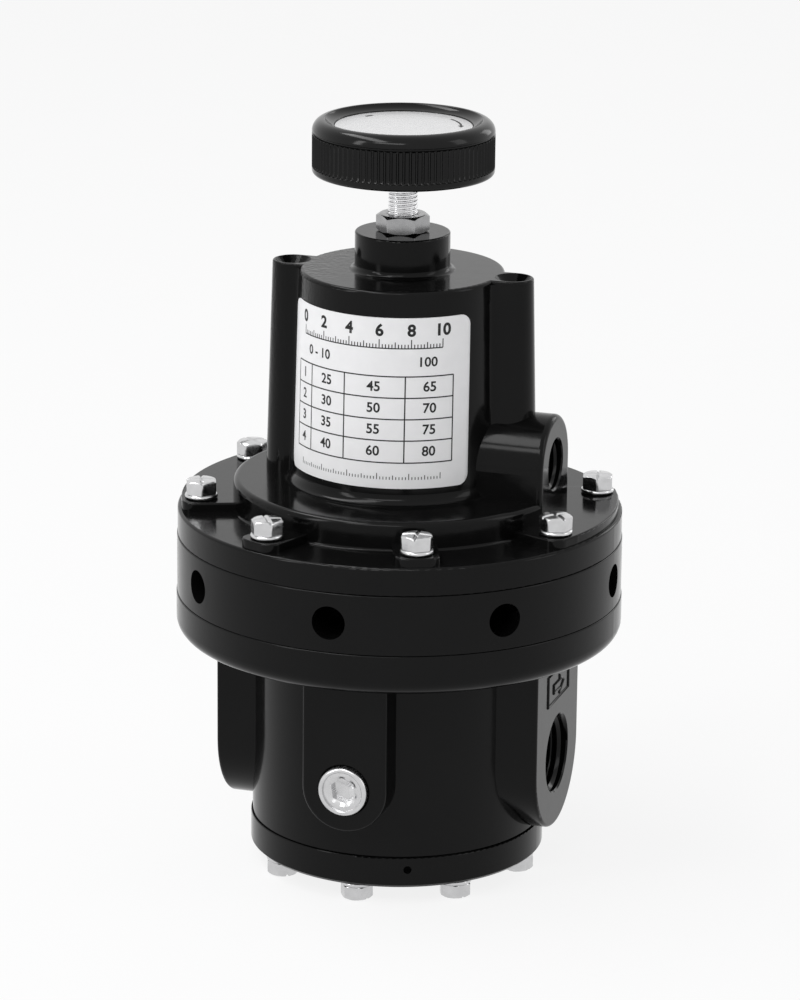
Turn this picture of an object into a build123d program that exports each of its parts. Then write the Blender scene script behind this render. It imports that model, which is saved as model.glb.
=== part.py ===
"""Pneumatic reversing relay with a hand knob, as an assembly of separate pieces.

The origin is on the main axis, level with the lowest faces of the cap screw heads.
+Z points up to the knob, +X is the outlet side, and -Y is the front gauge port.
Sizes are in millimetres.
"""

import os
from math import cos, radians, sin, sqrt, tan

from build123d import *

# Castings
ring_diameter = 121.2
flange_step = 0.2
barrel_diameter = 79.9
cap_overhang = 0.45
bonnet_diameter = 54.8
neck_diameter = 25.6
cap_height = 8.6
barrel_height = 52.5
lower_flange_height = 11.3
ring_height = 16.3
bonnet_flange_height = 7.6
plateau_height = 7.8
bonnet_height = 73.2
neck_height = 10.3
flange_under_round = 4.2
seam_round = 0.35
edge_round = 0.8
rim_round = 1.6
top_round = 1.0
foot_round = 3.0

# Columns and lugs of the bonnet
column_radius = 5.6
column_centre = 30.9
column_fillet = 2.2
column_edge_round = 0.5
bonnet_draft = 1.6
column_hole_diameter = 3.8
column_hole_depth = 14.0
column_sink_diameter = 9.8
column_sink_angle = 82
lug_width = 12.0
lug_setback = 1.2
lug_height = 2.4
lug_corner = 3.6
lug_edge_round = 0.5

# Ports
port_diameter = 21.34
port_drill_diameter = 17.0
port_rise = 21.1
port_depth = 20.0
port_face = 45.7
port_pad_width = 41.0
gauge_diameter = 13.72
gauge_drill_diameter = 6.0
gauge_rise = 20.8
gauge_depth = 14.0
gauge_face = 47.0
gauge_pad_width = 23.5
signal_rise = 22.8
signal_depth = 15.2
signal_face = 43.7
signal_boss_width = 27.0
mouth_chamfer = 0.45
mouth_angle = 45
pad_round = 0.9
boss_round = 1.5
vent_diameter = 9.1
weep_diameter = 2.2
weep_depth = 3.0
weep_rise = 5.2
weep_angle = 22.0

# Fasteners and plugs
screw_count = 8
screw_diameter = 4.83
head_flats = 7.94
head_height = 4.0
head_slot_width = 1.2
head_slot_depth = 0.9
washer_diameter = 9.0
washer_thickness = 1.3
bonnet_bolt_margin = 6.625
cap_bolt_margin = 5.025
plateau_gap = 4.175
bonnet_screw_thread = 9.0
cap_screw_thread = 7.0
tap_run_out = 1.0
plug_length = 11.0
plug_proud = 1.7
plug_chamfer = 1.1
plug_socket_flats = 6.35
plug_socket_depth = 5.0

# Adjusting screw, lock nut and knob
thread_diameter = 7.94
nut_flats = 12.7
nut_height = 4.8
nut_angle = 12.7
nut_chamfer = 0.7
knob_gap = 10.9
knob_diameter = 48.8
knob_height = 14.7
knob_flutes = 90
knob_flute_depth = 0.55
knob_flute_low = 1.9
knob_groove_rise = 11.3
knob_groove_width = 0.5
knob_rim_drop = 1.8
knob_rim_round = 3.2
knob_rim_diameter = 42.0
knob_hub_diameter = 17.0
knob_wall = 3.4
knob_hollow_depth = 6.5
knob_rib_count = 6
knob_rib_width = 1.6
disc_diameter = 36.8
disc_thickness = 0.8
screw_in_knob = 9.8

# Name plate
plate_rise = 43.2
plate_tall = 46.2
plate_wide = 58.8
plate_turn = -3.0
plate_corner = 3.0
plate_gauge = 0.4
plate_glue = 0.1

# Diaphragm stack
small_diaphragm_diameter = 48.0
area_ratio = 2.0
convolution_gap = 4.6
diaphragm_thickness = 0.8
pocket_wall = 3.71
pocket_depth = 4.5
carrier_web = 1.8
plate_thickness = 1.5
plate_boss_height = 2.5
spool_flange = 1.8
spool_core_diameter = 16.0
hub_spacer_diameter = 20.0
stem_diameter = 8.0
stem_bore_diameter = 4.0
stem_flange_diameter = 17.0
stem_flange_height = 3.0
stem_cross_hole = 2.0
stem_cross_hole_count = 4
stem_nut_flats = 14.0
stem_nut_height = 4.5
stem_end = 1.5
relief_rim_height = 1.0
relief_rim_width = 1.0
relief_rim_diameter = 8.4
control_cavity_height = 6.0
signal_passage_diameter = 3.2
signal_passage_wall = 1.8
convolution_rise = 1.6

# Range spring and its seat
spring_chamber_diameter = 44.0
roof_thickness = 6.7
button_diameter = 34.0
button_flange = 3.5
button_hub_diameter = 16.0
button_hub_height = 2.5
button_pilot_height = 4.0
button_socket_depth = 4.0
button_drop = 6.5
range_wire = 3.0
range_turns = 6.0
wire_sides = 8

# Supply valve
supply_bore_diameter = 34.0
supply_bore_height = 29.6
web_thickness = 6.5
seat_diameter = 19.0
seat_flange_diameter = 23.0
seat_flange_height = 2.0
seat_rim_height = 1.0
seat_rim_width = 1.2
orifice_diameter = 13.0
valve_face_thickness = 1.5
valve_face_diameter = 19.6
valve_disc_diameter = 21.6
valve_disc_thickness = 3.0
valve_neck_diameter = 8.0
valve_stem_diameter = 5.2
valve_tip_diameter = 9.2
valve_tip_height = 2.0
valve_bore_diameter = 2.4
valve_cross_hole = 1.6
piston_diameter = 9.9
piston_length = 12.5
guide_boss_diameter = 16.0
guide_boss_height = 5.5
guide_floor = 4.0
piston_under_gap = 2.2
spigot_height = 5.6
valve_wire = 1.3
valve_turns = 5.0
outlet_passage_diameter = 6.4
outlet_passage_angle = 17.0
passage_wall = 3.1
gauge_passage_diameter = 5.0

# Seals
cap_seal_wire = 2.4
cap_seal_rise = 1.4
valve_seal_wire = 1.35
valve_seal_rise = 4.5
seal_gap = 0.02

# Clearances
thread_gap = 0.03
sliding_gap = 0.05
screw_gap = 0.35
tapped_gap = 0.02
loose_gap = 0.3

# How far a cutting tool runs past the face it cuts from
overshoot = 1.0

# Radii
ring_r = ring_diameter / 2
bonnet_flange_r = ring_r - flange_step
body_flange_r = ring_r + flange_step
barrel_r = barrel_diameter / 2
cap_r = barrel_r + cap_overhang
bonnet_r = bonnet_diameter / 2
thread_r = thread_diameter / 2
screw_r = screw_diameter / 2
clearance_hole_r = screw_r + screw_gap
tapped_hole_r = screw_r + tapped_gap
bonnet_bolt_r = ring_r - bonnet_bolt_margin
cap_bolt_r = barrel_r - cap_bolt_margin
lug_reach = ring_r - lug_setback
bolt_step = 360 / screw_count
pocket_r = bonnet_bolt_r - clearance_hole_r - pocket_wall
plateau_r = bonnet_bolt_r - (washer_diameter / 2 + plateau_gap)
spring_chamber_r = spring_chamber_diameter / 2
supply_r = supply_bore_diameter / 2
small_r = small_diaphragm_diameter / 2
large_r = small_r * sqrt(area_ratio)
small_clamp_r = small_r + convolution_gap / 2
small_plate_r = small_r - convolution_gap / 2
large_clamp_r = large_r + convolution_gap / 2
large_plate_r = large_r - convolution_gap / 2
passage_r = signal_passage_diameter / 2
passage_centre = large_clamp_r + signal_passage_wall + passage_r
range_spring_r = button_diameter / 2 - range_wire
spring_pilot_r = range_spring_r - range_wire / 2 - 2 * loose_gap
valve_spring_r = guide_boss_diameter / 2 + 2 * loose_gap + valve_wire / 2
outlet_passage_r = supply_r + passage_wall + outlet_passage_diameter / 2

# Heights of the castings
z_cap = head_height + washer_thickness
z_seam = z_cap + cap_height
z_flange = z_seam + barrel_height
z_ring = z_flange + lower_flange_height
z_bonnet = z_ring + ring_height
z_step = z_bonnet + bonnet_flange_height
z_lug = z_step + lug_height
z_plateau = z_step + plateau_height
z_top = z_bonnet + bonnet_height
z_neck = z_top + neck_height
z_nut = z_neck + nut_height
z_knob = z_nut + knob_gap
z_knob_top = z_knob + knob_height
z_disc = z_knob_top - knob_rim_drop
z_port = z_seam + port_rise
z_gauge = z_seam + gauge_rise
z_signal = z_bonnet + signal_rise

# Heights of the inner pieces
z_shoulder = z_bonnet + pocket_depth
z_plate = z_shoulder + plate_thickness
z_plate_boss = z_plate + plate_boss_height
z_control_roof = z_shoulder + control_cavity_height
z_roof = z_top - roof_thickness
z_button_top = z_roof - button_drop
z_button_hub = z_button_top - button_hub_height
z_button = z_button_hub - button_flange
z_supply_roof = z_seam + supply_bore_height
z_chamber_floor = z_supply_roof + web_thickness
z_seat = z_supply_roof - seat_rim_height
z_valve_face = z_seat - valve_face_thickness
z_valve_disc = z_valve_face - valve_disc_thickness
z_spigot = z_seam + spigot_height
z_guide = z_spigot + guide_boss_height
z_guide_floor = z_cap + guide_floor
z_piston = z_guide_floor + piston_under_gap
z_stem_flange = z_ring - diaphragm_thickness - stem_flange_height
z_relief = z_stem_flange - relief_rim_height
z_spool_top = z_bonnet - diaphragm_thickness
z_vent = (z_ring + z_bonnet) / 2
z_stem_nut = z_plate_boss + stem_nut_height
z_screw_tip = z_button_top - button_socket_depth

os.makedirs("parts", exist_ok=True)


def finish(piece, name):
    """Label a finished piece and write it to its own file."""
    piece.part.label = name
    export_step(piece.part, f"parts/{name}.step")


def round_corners(profile, radius, *corners):
    """Round the corners of the open sketch nearest the given points."""
    for corner in corners:
        fillet(profile.vertices().sort_by_distance(Vector(*corner))[0], radius)


def ring_profile(inner_r, outer_r, low, high):
    """Draw a rectangle from inner_r to outer_r and from low to high."""
    width = outer_r - inner_r
    with Locations((inner_r + width / 2, (low + high) / 2)):
        Rectangle(width, high - low)


def cut_ring(inner_r, outer_r, low, high):
    """Turn away the space from inner_r to outer_r and from low to high."""
    with BuildSketch(Plane.XZ) as space:
        ring_profile(inner_r, outer_r, low, high)
    revolve(space.sketch, axis=Axis.Z, mode=Mode.SUBTRACT)


def radial_plane(distance, height, angle):
    """Plane that faces outward at an angle about the axis, at a distance from it."""
    direction = Vector(cos(radians(angle)), sin(radians(angle)), 0)
    return Plane(origin=direction * distance + Vector(0, 0, height), x_dir=(0, 0, 1), z_dir=direction)


def tapped_port(face, height, angle, diameter, depth):
    """Cut a port with a chamfered mouth into a pad."""
    with BuildSketch(radial_plane(face - depth, height, angle)) as bore:
        Circle(diameter / 2)
    extrude(bore.sketch, amount=depth + overshoot, mode=Mode.SUBTRACT)
    with BuildSketch(radial_plane(face, height, angle)) as mouth:
        Circle(diameter / 2 + mouth_chamfer)
    extrude(mouth.sketch, amount=-mouth_chamfer, taper=mouth_angle, mode=Mode.SUBTRACT)


def drill(start, end, diameter):
    """Cut a straight round passage from one point to another."""
    path = Vector(*end) - Vector(*start)
    with BuildSketch(Plane(origin=start, z_dir=path)) as section:
        Circle(diameter / 2)
    extrude(section.sketch, amount=path.length, mode=Mode.SUBTRACT)


def bolt_holes(bolt_r, hole_r, low, high, first_angle):
    """Cut a circle of equal round holes."""
    with BuildSketch(Plane.XY.offset(low)) as holes:
        with PolarLocations(bolt_r, screw_count, start_angle=first_angle):
            Circle(hole_r)
    extrude(holes.sketch, amount=high - low, mode=Mode.SUBTRACT)


def rounded_block(outline, base, direction, thickness, radius):
    """Add a block on an outline, with its far edges rounded; direction points to its far face."""
    with BuildPart(mode=Mode.PRIVATE) as block:
        extrude(outline, amount=thickness, dir=direction)
        flat_faces = block.faces().filter_by(GeomType.PLANE)
        limit = thickness - radius
        far_faces = flat_faces.filter_by(lambda face: (face.center() - base).dot(direction) > limit)
        fillet(far_faces.edges(), radius)
    add(block.part)


def arch_pad(face, height, angle, width, top, depth, radius):
    """Add a pad with a half-round lower end, straight sides up to a flange and a rounded edge."""
    plane = radial_plane(face - depth, height, angle)
    with BuildSketch(plane) as outline:
        Circle(width / 2)
        with Locations(((top - height) / 2, 0)):
            Rectangle(abs(top - height), width)
    rounded_block(outline.sketch, plane.origin, plane.z_dir, depth, radius)


# Bottom cap with the guide of the supply valve
with BuildPart() as bottom_cap:
    with BuildSketch(Plane.XZ) as profile:
        ring_profile(0, cap_r, z_cap, z_seam)
        ring_profile(0, supply_r - sliding_gap, z_seam, z_spigot)
        ring_profile(0, guide_boss_diameter / 2, z_spigot, z_guide)
        round_corners(profile, seam_round, (cap_r, z_seam))
        chamfer(profile.vertices().sort_by_distance(Vector(cap_r, z_cap))[0], edge_round)
    revolve(axis=Axis.Z)
    groove_low = z_seam + cap_seal_rise
    groove_r = supply_r - cap_seal_wire - 2 * seal_gap
    cut_ring(groove_r, supply_r, groove_low, groove_low + cap_seal_wire + 2 * seal_gap)
    cut_ring(0, piston_diameter / 2 + sliding_gap, z_guide_floor, z_guide + overshoot)
    bolt_holes(cap_bolt_r, clearance_hole_r, z_cap - overshoot, z_seam + overshoot, 0)
    with BuildSketch(radial_plane(cap_r - weep_depth, z_cap + weep_rise, weep_angle - 90)):
        Circle(weep_diameter / 2)
    extrude(amount=weep_depth + overshoot, mode=Mode.SUBTRACT)
finish(bottom_cap, "bottom_cap")

# Body with the barrel, the flange, two port pads and two gauge pads
with BuildPart() as body:
    with BuildSketch(Plane.XZ) as profile:
        ring_profile(0, barrel_r, z_seam, z_ring)
        ring_profile(0, body_flange_r, z_flange, z_ring)
        round_corners(profile, flange_under_round, (body_flange_r, z_flange))
        round_corners(profile, seam_round, (body_flange_r, z_ring), (barrel_r, z_seam))
    revolve(axis=Axis.Z)
    pad_top = z_flange + 2 * pad_round
    for side in (0, 180):
        arch_pad(port_face, z_port, side, port_pad_width, pad_top, port_face - supply_r, pad_round)
    for side in (90, 270):
        arch_pad(gauge_face, z_gauge, side, gauge_pad_width, pad_top, gauge_face - supply_r, pad_round)
    cut_ring(0, supply_r, z_seam - overshoot, z_supply_roof)
    cut_ring(0, seat_diameter / 2 + tapped_gap, z_supply_roof - overshoot, z_chamber_floor + overshoot)
    cut_ring(0, small_clamp_r, z_chamber_floor, z_ring + overshoot)
    cut_ring(0, pocket_r, z_ring - diaphragm_thickness, z_ring + overshoot)
    for side in (0, 180):
        tapped_port(port_face, z_port, side, port_diameter, port_depth)
    for side in (90, 270):
        tapped_port(gauge_face, z_gauge, side, gauge_diameter, gauge_depth)
    inner_end = supply_r + passage_wall
    drill((-port_face + port_depth / 2, 0, z_port), (overshoot - supply_r, 0, z_port), port_drill_diameter)
    drill((port_face - port_depth / 2, 0, z_port), (inner_end, 0, z_port), port_drill_diameter)
    for angle in (-outlet_passage_angle, 0, outlet_passage_angle):
        passage_x = outlet_passage_r * cos(radians(angle))
        passage_y = outlet_passage_r * sin(radians(angle))
        passage_top = (passage_x, passage_y, z_chamber_floor + overshoot)
        drill(passage_top, (passage_x, passage_y, z_port), outlet_passage_diameter)
    for side in (-1, 1):
        gauge_y = side * (supply_r + passage_wall + gauge_passage_diameter / 2)
        gauge_start = side * (gauge_face - gauge_depth / 2)
        drill((0, gauge_start, z_gauge), (0, gauge_y, z_gauge), gauge_drill_diameter)
        drill((0, gauge_y, z_chamber_floor + overshoot), (0, gauge_y, z_gauge), gauge_passage_diameter)
    cap_tap_end = z_seam + cap_screw_thread + tap_run_out
    bolt_holes(cap_bolt_r, tapped_hole_r, z_seam - overshoot, cap_tap_end, 0)
    bonnet_tap_end = z_ring - bonnet_screw_thread - tap_run_out
    bolt_holes(bonnet_bolt_r, tapped_hole_r, bonnet_tap_end, z_ring + overshoot, bolt_step / 2)
finish(body, "body")

# Spacer ring with the radial vent holes
with BuildPart() as spacer_ring:
    with BuildSketch(Plane.XZ) as profile:
        ring_profile(small_clamp_r, ring_r, z_ring, z_bonnet)
        round_corners(profile, seam_round, (ring_r, z_ring), (ring_r, z_bonnet))
    revolve(axis=Axis.Z)
    cut_ring(0, pocket_r, z_bonnet - diaphragm_thickness, z_bonnet + overshoot)
    for number in range(screw_count):
        with BuildSketch(radial_plane(0, z_vent, number * bolt_step)):
            Circle(vent_diameter / 2)
        extrude(amount=ring_r + overshoot, mode=Mode.SUBTRACT)
    bolt_holes(bonnet_bolt_r, clearance_hole_r, z_ring - overshoot, z_bonnet + overshoot, bolt_step / 2)
finish(spacer_ring, "spacer_ring")


def columns_outline(grow):
    """Draw both columns with their webs to the axis; grow widens them for the draft."""
    for side in (-1, 1):
        with Locations((side * column_centre, 0)):
            Circle(column_radius + grow)
        with Locations((side * column_centre / 2, 0)):
            Rectangle(column_centre, 2 * (column_radius + grow))


# Bonnet with its neck, columns, signal boss, stepped foot and lugs
with BuildPart() as bonnet:
    foot_r = bonnet_r + (z_top - z_plateau) * tan(radians(bonnet_draft))
    with BuildSketch(Plane.XZ) as profile:
        ring_profile(0, bonnet_flange_r, z_bonnet, z_step)
        ring_profile(0, plateau_r, z_step, z_plateau)
        Polygon((0, z_plateau), (foot_r, z_plateau), (bonnet_r, z_top), (0, z_top), align=None)
        ring_profile(0, neck_diameter / 2, z_top, z_neck)
        round_corners(profile, edge_round, (bonnet_flange_r, z_step), (plateau_r, z_step))
        round_corners(profile, seam_round, (bonnet_flange_r, z_bonnet))
        round_corners(profile, rim_round, (plateau_r, z_plateau), (neck_diameter / 2, z_top))
        round_corners(profile, top_round, (bonnet_r, z_top))
        round_corners(profile, column_edge_round, (neck_diameter / 2, z_neck))
        round_corners(profile, foot_round, (foot_r, z_plateau))
    revolve(axis=Axis.Z)
    lug_base = Vector(0, 0, z_step - overshoot)
    with BuildSketch(Plane.XY.offset(z_step - overshoot), mode=Mode.PRIVATE) as lugs:
        with PolarLocations(bonnet_bolt_r, screw_count, start_angle=bolt_step / 2):
            with Locations((lug_reach - bonnet_bolt_r - lug_width, 0)):
                RectangleRounded(2 * lug_width, lug_width, lug_corner)
    rounded_block(lugs.sketch, lug_base, Vector(0, 0, 1), lug_height + overshoot, lug_edge_round)
    with BuildSketch(Plane.XY.offset(z_step - overshoot), mode=Mode.PRIVATE) as sectors:
        half_span = ring_r * tan(radians(bolt_step / 2))
        for side in (-ring_r, ring_r):
            Polygon((0, 0), (side, -half_span), (side, half_span), align=None)
        Circle(lug_reach, mode=Mode.INTERSECT)
        Circle(bonnet_r, mode=Mode.SUBTRACT)
    rounded_block(sectors.sketch, lug_base, Vector(0, 0, 1), lug_height + overshoot, lug_edge_round)
    z_rim = z_top - top_round
    with BuildSketch(Plane.XY.offset(z_rim), mode=Mode.PRIVATE) as column_tops:
        columns_outline(0)
    rounded_block(column_tops.sketch, Vector(0, 0, z_rim), Vector(0, 0, 1), top_round, column_edge_round)
    sections = []
    for height in (z_rim, z_step):
        with BuildSketch(Plane.XY.offset(height), mode=Mode.PRIVATE) as section:
            grow = (z_top - height) * tan(radians(bonnet_draft))
            meeting_x = sqrt((bonnet_r + grow) ** 2 - (column_radius + grow) ** 2)
            Circle(bonnet_r + grow)
            columns_outline(grow)
            for x in (-meeting_x, meeting_x):
                round_corners(section, column_fillet, (x, column_radius + grow), (x, -column_radius - grow))
        sections.append(section.sketch)
    loft(sections, ruled=True)
    boss_depth = signal_face - spring_chamber_r
    arch_pad(signal_face, z_signal, 0, signal_boss_width, z_step, boss_depth, boss_round)
    with BuildSketch(Plane.XY.offset(z_lug)):
        with Locations(((signal_face + ring_r) / 2, 0)):
            Rectangle(ring_r - signal_face, signal_boss_width)
    extrude(amount=z_plateau - z_lug + overshoot, mode=Mode.SUBTRACT)
    with Locations((-column_centre, 0, z_top), (column_centre, 0, z_top)):
        hole_r, sink_r = column_hole_diameter / 2, column_sink_diameter / 2
        CounterSinkHole(hole_r, sink_r, column_hole_depth, column_sink_angle)
    cut_ring(0, thread_r + thread_gap, z_roof - overshoot, z_neck + overshoot)
    cut_ring(0, spring_chamber_r, z_control_roof - overshoot, z_roof)
    cut_ring(0, large_clamp_r, z_shoulder - overshoot, z_control_roof)
    cut_ring(0, pocket_r, z_bonnet - overshoot, z_shoulder)
    tapped_port(signal_face, z_signal, 0, gauge_diameter, signal_depth)
    passage_end = (passage_centre, 0, z_shoulder - overshoot)
    drill((passage_centre, 0, z_signal), passage_end, signal_passage_diameter)
    bolt_holes(bonnet_bolt_r, clearance_hole_r, z_bonnet - overshoot, z_lug + overshoot, bolt_step / 2)
finish(bonnet, "bonnet")


def hex_screws(bolt_r, seat, head_sign, shank_length, first_angle):
    """Hexagon head screws on a circle; head_sign is 1 for heads on top and -1 for heads below."""
    plane = Plane.XY.offset(seat)
    with BuildPart() as screws:
        with BuildSketch(plane):
            with PolarLocations(bolt_r, screw_count, start_angle=first_angle):
                RegularPolygon(head_flats / 2, 6, major_radius=False)
        extrude(amount=head_sign * head_height)
        with BuildSketch(plane):
            with PolarLocations(bolt_r, screw_count, start_angle=first_angle):
                Circle(screw_r)
        extrude(amount=-head_sign * shank_length)
        with BuildSketch(plane.offset(head_sign * head_height)):
            with PolarLocations(bolt_r, screw_count, start_angle=first_angle):
                Rectangle(head_flats * 2, head_slot_width)
        extrude(amount=-head_sign * head_slot_depth, mode=Mode.SUBTRACT)
    return screws


def flat_washers(bolt_r, seat, first_angle):
    """Flat washers on a circle, resting on the height of their seat."""
    with BuildPart() as washers:
        with BuildSketch(Plane.XY.offset(seat)):
            with PolarLocations(bolt_r, screw_count, start_angle=first_angle):
                Circle(washer_diameter / 2)
                Circle(screw_r + screw_gap / 2, mode=Mode.SUBTRACT)
        extrude(amount=washer_thickness)
    return washers


# Bonnet screws and cap screws with their washers
bonnet_screw_length = washer_thickness + z_lug - z_ring + bonnet_screw_thread
bonnet_screws = hex_screws(bonnet_bolt_r, z_lug + washer_thickness, 1, bonnet_screw_length, bolt_step / 2)
finish(bonnet_screws, "bonnet_screws")
bonnet_washers = flat_washers(bonnet_bolt_r, z_lug, bolt_step / 2)
finish(bonnet_washers, "bonnet_washers")
cap_screw_length = washer_thickness + cap_height + cap_screw_thread
cap_screws = hex_screws(cap_bolt_r, head_height, -1, cap_screw_length, 0)
finish(cap_screws, "cap_screws")
cap_washers = flat_washers(cap_bolt_r, head_height, 0)
finish(cap_washers, "cap_washers")


def gauge_plug(angle):
    """Hexagon socket pipe plug in a gauge port."""
    with BuildPart() as plug:
        with BuildSketch(radial_plane(gauge_face + plug_proud, z_gauge, angle)):
            Circle(gauge_diameter / 2 - tapped_gap)
        extrude(amount=-plug_length)
        chamfer(plug.edges().filter_by(GeomType.CIRCLE), plug_chamfer)
        with BuildSketch(radial_plane(gauge_face + plug_proud, z_gauge, angle)):
            RegularPolygon(plug_socket_flats / 2, 6, major_radius=False)
        extrude(amount=-plug_socket_depth, mode=Mode.SUBTRACT)
    return plug


# Plugs of the two gauge ports
front_gauge_plug = gauge_plug(270)
finish(front_gauge_plug, "front_gauge_plug")
back_gauge_plug = gauge_plug(90)
finish(back_gauge_plug, "back_gauge_plug")

# Adjusting screw
with BuildPart() as adjusting_screw:
    with BuildSketch(Plane.XZ) as profile:
        ring_profile(0, thread_r, z_screw_tip, z_knob + screw_in_knob)
        chamfer(profile.vertices().sort_by_distance(Vector(thread_r, z_screw_tip))[0], edge_round)
    revolve(axis=Axis.Z)
finish(adjusting_screw, "adjusting_screw")

# Lock nut, with its corners turned off on both faces
with BuildPart() as lock_nut:
    with BuildSketch(Plane.XY.offset(z_neck)):
        RegularPolygon(nut_flats / 2, 6, major_radius=False, rotation=nut_angle)
    extrude(amount=nut_height)
    with BuildSketch(Plane.XZ) as profile:
        ring_profile(0, nut_flats / sqrt(3), z_neck, z_nut)
        chamfer(profile.vertices().group_by(Axis.X)[-1], nut_chamfer)
    revolve(axis=Axis.Z, mode=Mode.INTERSECT)
    cut_ring(0, thread_r + thread_gap, z_neck - overshoot, z_nut + overshoot)
finish(lock_nut, "lock_nut")

# Knob with a fluted rim, a groove, a recess for the disc and a ribbed hollow below
with BuildPart() as knob:
    with BuildSketch(Plane.XZ) as profile:
        ring_profile(0, knob_diameter / 2, z_knob, z_knob_top)
        round_corners(profile, knob_rim_round, (knob_diameter / 2, z_knob_top))
        round_corners(profile, edge_round, (knob_diameter / 2, z_knob))
    revolve(axis=Axis.Z)
    groove_z = z_knob + knob_groove_rise
    groove_r = knob_diameter / 2 - knob_flute_depth
    cut_ring(groove_r, knob_diameter / 2 + overshoot, groove_z - knob_groove_width, groove_z)
    with BuildSketch(Plane.XZ) as dish:
        with BuildLine():
            Polyline(
                (0, z_disc - disc_thickness),
                (disc_diameter / 2, z_disc - disc_thickness),
                (disc_diameter / 2, z_disc),
                (knob_rim_diameter / 2, z_knob_top + seal_gap),
                (0, z_knob_top + seal_gap),
                close=True,
            )
        make_face()
    revolve(axis=Axis.Z, mode=Mode.SUBTRACT)
    with BuildSketch(Plane.XY.offset(z_knob + knob_flute_low)):
        with PolarLocations(knob_diameter / 2, knob_flutes):
            RegularPolygon(knob_flute_depth * 2, 4)
    extrude(amount=knob_groove_rise - knob_groove_width - knob_flute_low, mode=Mode.SUBTRACT)
    with BuildSketch(Plane.XY.offset(z_knob)):
        Circle(knob_diameter / 2 - knob_wall)
        Circle(knob_hub_diameter / 2, mode=Mode.SUBTRACT)
        with PolarLocations(knob_diameter / 4, knob_rib_count):
            Rectangle(knob_diameter / 2, knob_rib_width, mode=Mode.SUBTRACT)
    extrude(amount=knob_hollow_depth, mode=Mode.SUBTRACT)
    cut_ring(0, thread_r + tapped_gap, z_knob - overshoot, z_knob + screw_in_knob + tapped_gap)
finish(knob, "knob")

# Disc in the top of the knob
with BuildPart() as knob_disc:
    with BuildSketch(Plane.XZ):
        ring_profile(0, disc_diameter / 2 - sliding_gap, z_disc - disc_thickness, z_disc)
    revolve(axis=Axis.Z)
finish(knob_disc, "knob_disc")

# Name plate wrapped round the front of the bonnet
with BuildPart() as nameplate:
    plate_low = z_bonnet + plate_rise - plate_tall / 2
    plate_high = plate_low + plate_tall
    plate_corners = []
    for height, rise in ((z_step, z_top - z_step), (z_top, 0)):
        back_r = bonnet_r + plate_glue + rise * tan(radians(bonnet_draft))
        plate_corners.append((back_r, height))
        plate_corners.insert(0, (back_r + plate_gauge, height))
    with BuildSketch(Plane.XZ) as shell:
        Polygon(*plate_corners, align=None)
    revolve(axis=Axis.Z)
    with BuildSketch(Plane.XZ.rotated((0, 0, plate_turn))) as outline:
        edge_points = []
        for height in (plate_low, plate_high):
            face_r = bonnet_r + (z_top - height) * tan(radians(bonnet_draft))
            edge_points.append((face_r * sin(plate_wide / 2 / face_r), height))
        left_points = [(-x, height) for x, height in reversed(edge_points)]
        Polygon(*edge_points, *left_points, align=None)
        fillet(outline.vertices(), plate_corner)
    extrude(amount=bonnet_diameter, mode=Mode.INTERSECT)
finish(nameplate, "nameplate")

# Upper seat of the range spring, pushed down by the screw
with BuildPart() as spring_button:
    with BuildSketch(Plane.XZ) as profile:
        ring_profile(0, spring_pilot_r, z_button - button_pilot_height, z_button)
        ring_profile(0, button_diameter / 2, z_button, z_button_hub)
        ring_profile(0, button_hub_diameter / 2, z_button_hub, z_button_top)
        chamfer(profile.vertices().sort_by(Axis.Y)[:2].sort_by(Axis.X)[-1], edge_round)
    revolve(axis=Axis.Z)
    cut_ring(0, thread_r + loose_gap, z_screw_tip, z_button_top + overshoot)
finish(spring_button, "spring_button")


def coil_spring(coil_r, wire, turns, low, high):
    """Compression spring with its ends ground flat."""
    with BuildPart() as spring:
        with BuildLine() as path:
            coil = Helix((high - low) / turns, high - low, coil_r, center=(0, 0, low))
        with BuildSketch(Plane(origin=coil @ 0, z_dir=coil % 0)) as section:
            RegularPolygon(wire / 2, wire_sides)
        sweep(section.sketch, path=path.line, is_frenet=True)
        split(bisect_by=Plane.XY.offset(low), keep=Keep.TOP)
        split(bisect_by=Plane.XY.offset(high), keep=Keep.BOTTOM)
    return spring


# Range spring and valve spring
range_spring = coil_spring(range_spring_r, range_wire, range_turns, z_plate, z_button)
finish(range_spring, "range_spring")
valve_spring = coil_spring(valve_spring_r, valve_wire, valve_turns, z_spigot, z_valve_disc)
finish(valve_spring, "valve_spring")


def diaphragm(low, bore_r, plate_r, clamp_r, rise, passages):
    """Rubber diaphragm with one convolution that rises, or sinks where rise is negative."""
    middle = (plate_r + clamp_r) / 2
    half = (clamp_r - plate_r) / 2 - diaphragm_thickness / 2
    inner = half - diaphragm_thickness / 2
    high = low + diaphragm_thickness
    near = high if rise < 0 else low
    far = low if rise < 0 else high
    outer_r = pocket_r - loose_gap
    with BuildPart() as sheet:
        with BuildSketch(Plane.XZ):
            with BuildLine():
                Polyline(
                    (bore_r, near),
                    (middle - inner, near),
                    (middle - inner / 2, near + rise),
                    (middle + inner / 2, near + rise),
                    (middle + inner, near),
                    (outer_r, near),
                    (outer_r, far),
                    (middle + half, far),
                    (middle + half - inner / 2, far + rise),
                    (middle - half + inner / 2, far + rise),
                    (middle - half, far),
                    (bore_r, far),
                    close=True,
                )
            make_face()
        revolve(axis=Axis.Z)
        if passages:
            passage_end = (passage_centre, 0, high + overshoot)
            drill((passage_centre, 0, low - overshoot), passage_end, signal_passage_diameter)
    return sheet


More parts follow.
